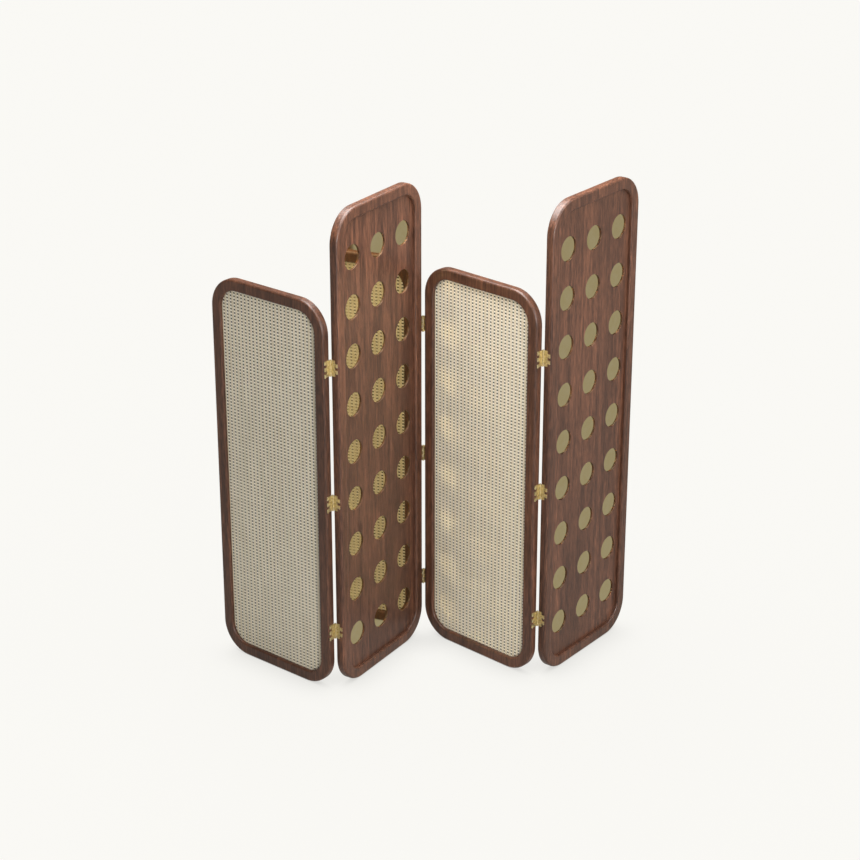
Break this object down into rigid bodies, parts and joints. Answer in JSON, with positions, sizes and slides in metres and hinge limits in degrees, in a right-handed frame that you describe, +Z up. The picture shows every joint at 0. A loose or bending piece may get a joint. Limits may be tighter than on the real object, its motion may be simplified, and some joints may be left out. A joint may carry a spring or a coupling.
{
  "type": "folding screen",
  "caption": "Free-standing folding screen: short panels of woven cane and tall panels with rows of round brass mirrors in rounded walnut frames, joined by brass leaf hinges.",
  "frame": {"origin": "centre of the bounding box at floor level, with the screen standing at the fold shown in the picture", "axes": "+X to the right and +Y away, seen from the front of the screen; +Z up, along the hinge pins"},
  "size_m": [1.4242, 0.5068, 1.7],
  "materials": {
    "walnut_cane_frame": "satin walnut, oiled",
    "walnut_disc_frame": "satin walnut, oiled",
    "walnut_board": "satin walnut veneer, oiled",
    "beech": "planed, unfinished",
    "cane": "matt woven split cane",
    "dark_core": "matt dark stain",
    "polished_brass": "polished",
    "hinge_brass": "satin, lightly worn"
  },
  "bodies": {
    "panel_1": {"stile_left_1": "walnut_cane_frame", "stile_right_1": "walnut_cane_frame", "rail_top_1": "walnut_cane_frame", "rail_bottom_1": "walnut_cane_frame", "tenons_1": "beech", "cane_front_1": "cane", "core_1": "dark_core", "cane_back_1": "cane", "leaf_12_low_left": "hinge_brass", "leaf_12_middle_left": "hinge_brass", "leaf_12_high_left": "hinge_brass", "pins_12": "hinge_brass", "screws_1": "hinge_brass"},
    "panel_2": {"stile_left_2": "walnut_disc_frame", "stile_right_2": "walnut_disc_frame", "rail_top_2": "walnut_disc_frame", "rail_bottom_2": "walnut_disc_frame", "tenons_2": "beech", "board_front_2": "walnut_board", "discs_2": "polished_brass", "board_back_2": "walnut_board", "leaf_12_low_right": "hinge_brass", "leaf_12_middle_right": "hinge_brass", "leaf_12_high_right": "hinge_brass", "leaf_23_low_left": "hinge_brass", "leaf_23_middle_left": "hinge_brass", "leaf_23_high_left": "hinge_brass", "pins_23": "hinge_brass", "screws_2": "hinge_brass"},
    "panel_3": {"stile_left_3": "walnut_cane_frame", "stile_right_3": "walnut_cane_frame", "rail_top_3": "walnut_cane_frame", "rail_bottom_3": "walnut_cane_frame", "tenons_3": "beech", "cane_front_3": "cane", "core_3": "dark_core", "cane_back_3": "cane", "leaf_23_low_right": "hinge_brass", "leaf_23_middle_right": "hinge_brass", "leaf_23_high_right": "hinge_brass", "leaf_34_low_left": "hinge_brass", "leaf_34_middle_left": "hinge_brass", "leaf_34_high_left": "hinge_brass", "pins_34": "hinge_brass", "screws_3": "hinge_brass"},
    "panel_4": {"stile_left_4": "walnut_disc_frame", "stile_right_4": "walnut_disc_frame", "rail_top_4": "walnut_disc_frame", "rail_bottom_4": "walnut_disc_frame", "tenons_4": "beech", "board_front_4": "walnut_board", "discs_4": "polished_brass", "board_back_4": "walnut_board", "leaf_34_low_right": "hinge_brass", "leaf_34_middle_right": "hinge_brass", "leaf_34_high_right": "hinge_brass", "screws_4": "hinge_brass"}
  },
  "joints": [
    {"name": "fold_12", "type": "hinge", "parent": "panel_2", "child": "panel_1", "pos_m": [-0.30755, -0.23078, 0.7], "axis": [0, 0, 1], "range_deg": [-82.9, 97.1]},
    {"name": "fold_23", "type": "hinge", "parent": "panel_2", "child": "panel_3", "pos_m": [-0.00969, 0.17996, 0.7], "axis": [0, 0, 1], "range_deg": [-79.5, 100.5]},
    {"name": "fold_34", "type": "hinge", "parent": "panel_3", "child": "panel_4", "pos_m": [0.38264, -0.14175, 0.7], "axis": [0, 0, 1], "range_deg": [-95.1, 84.9]}
  ]
}
